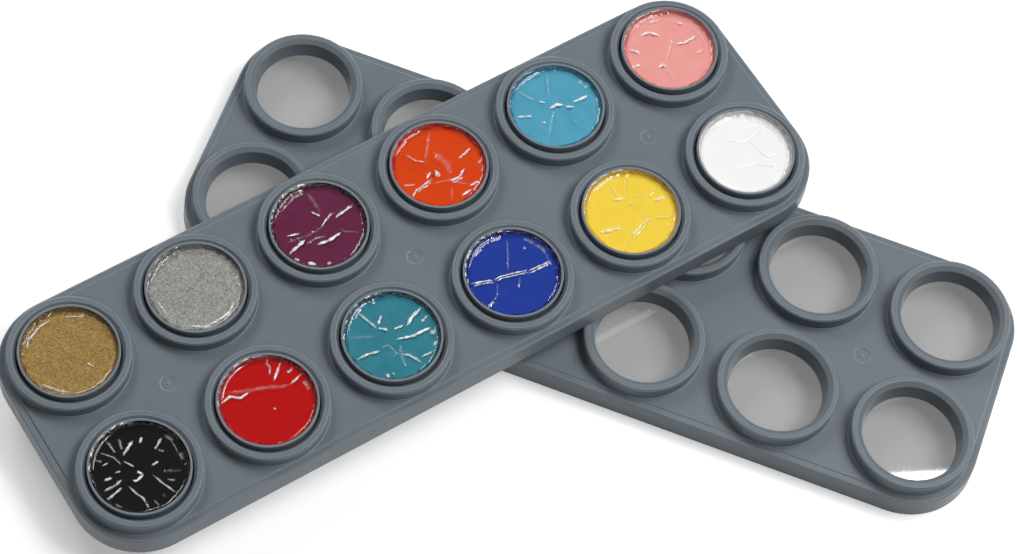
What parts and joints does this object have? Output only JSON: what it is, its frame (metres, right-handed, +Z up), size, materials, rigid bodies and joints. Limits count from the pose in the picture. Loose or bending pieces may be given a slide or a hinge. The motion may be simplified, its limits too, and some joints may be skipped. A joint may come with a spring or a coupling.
{
  "type": "face paint palette",
  "caption": "Long grey tray with two rows of lift-out round paint pans under clear film, lying across its own matching lid with round windows.",
  "frame": {"origin": "on the supporting surface, under the middle of the tray and lid as they lie crossed", "axes": "+X along the lid's long side, +Y across the lid, +Z up; the tray's long side is turned 51.9 degrees from +X"},
  "size_m": [0.2395, 0.2, 0.0222],
  "materials": {
    "grey_plastic": "satin moulded plastic",
    "pan_plastic": "satin moulded plastic",
    "clear_sheet": "clear gloss",
    "clear_film": "clear gloss, crinkled",
    "paint_gold": "metallic cake paint",
    "paint_silver": "metallic cake paint",
    "paint_purple": "smooth cake paint",
    "paint_orange": "smooth cake paint",
    "paint_light_blue": "smooth cake paint",
    "paint_pink": "smooth cake paint",
    "paint_black": "smooth cake paint",
    "paint_red": "smooth cake paint",
    "paint_teal": "smooth cake paint",
    "paint_blue": "smooth cake paint",
    "paint_yellow": "smooth cake paint",
    "paint_white": "smooth cake paint"
  },
  "bodies": {
    "lid": {"lid": "grey_plastic", "window_sheet": "clear_sheet"},
    "tray": {"tray": "grey_plastic"},
    "pan_gold": {"pan_gold": "pan_plastic", "paint_gold": "paint_gold", "film_gold": "clear_film"},
    "pan_silver": {"pan_silver": "pan_plastic", "paint_silver": "paint_silver", "film_silver": "clear_film"},
    "pan_purple": {"pan_purple": "pan_plastic", "paint_purple": "paint_purple", "film_purple": "clear_film"},
    "pan_orange": {"pan_orange": "pan_plastic", "paint_orange": "paint_orange", "film_orange": "clear_film"},
    "pan_light_blue": {"pan_light_blue": "pan_plastic", "paint_light_blue": "paint_light_blue", "film_light_blue": "clear_film"},
    "pan_pink": {"pan_pink": "pan_plastic", "paint_pink": "paint_pink", "film_pink": "clear_film"},
    "pan_black": {"pan_black": "pan_plastic", "paint_black": "paint_black", "film_black": "clear_film"},
    "pan_red": {"pan_red": "pan_plastic", "paint_red": "paint_red", "film_red": "clear_film"},
    "pan_teal": {"pan_teal": "pan_plastic", "paint_teal": "paint_teal", "film_teal": "clear_film"},
    "pan_blue": {"pan_blue": "pan_plastic", "paint_blue": "paint_blue", "film_blue": "clear_film"},
    "pan_yellow": {"pan_yellow": "pan_plastic", "paint_yellow": "paint_yellow", "film_yellow": "clear_film"},
    "pan_white": {"pan_white": "pan_plastic", "paint_white": "paint_white", "film_white": "clear_film"}
  },
  "joints": [
    {"name": "tray_lift", "type": "slide", "parent": "lid", "child": "tray", "axis": [0, 0, 1], "range_m": [0, 0.08]},
    {"name": "pan_gold_lift", "type": "slide", "parent": "tray", "child": "pan_gold", "axis": [0, 0, 1], "range_m": [0, 0.03]},
    {"name": "pan_silver_lift", "type": "slide", "parent": "tray", "child": "pan_silver", "axis": [0, 0, 1], "range_m": [0, 0.03]},
    {"name": "pan_purple_lift", "type": "slide", "parent": "tray", "child": "pan_purple", "axis": [0, 0, 1], "range_m": [0, 0.03]},
    {"name": "pan_orange_lift", "type": "slide", "parent": "tray", "child": "pan_orange", "axis": [0, 0, 1], "range_m": [0, 0.03]},
    {"name": "pan_light_blue_lift", "type": "slide", "parent": "tray", "child": "pan_light_blue", "axis": [0, 0, 1], "range_m": [0, 0.03]},
    {"name": "pan_pink_lift", "type": "slide", "parent": "tray", "child": "pan_pink", "axis": [0, 0, 1], "range_m": [0, 0.03]},
    {"name": "pan_black_lift", "type": "slide", "parent": "tray", "child": "pan_black", "axis": [0, 0, 1], "range_m": [0, 0.03]},
    {"name": "pan_red_lift", "type": "slide", "parent": "tray", "child": "pan_red", "axis": [0, 0, 1], "range_m": [0, 0.03]},
    {"name": "pan_teal_lift", "type": "slide", "parent": "tray", "child": "pan_teal", "axis": [0, 0, 1], "range_m": [0, 0.03]},
    {"name": "pan_blue_lift", "type": "slide", "parent": "tray", "child": "pan_blue", "axis": [0, 0, 1], "range_m": [0, 0.03]},
    {"name": "pan_yellow_lift", "type": "slide", "parent": "tray", "child": "pan_yellow", "axis": [0, 0, 1], "range_m": [0, 0.03]},
    {"name": "pan_white_lift", "type": "slide", "parent": "tray", "child": "pan_white", "axis": [0, 0, 1], "range_m": [0, 0.03]}
  ]
}
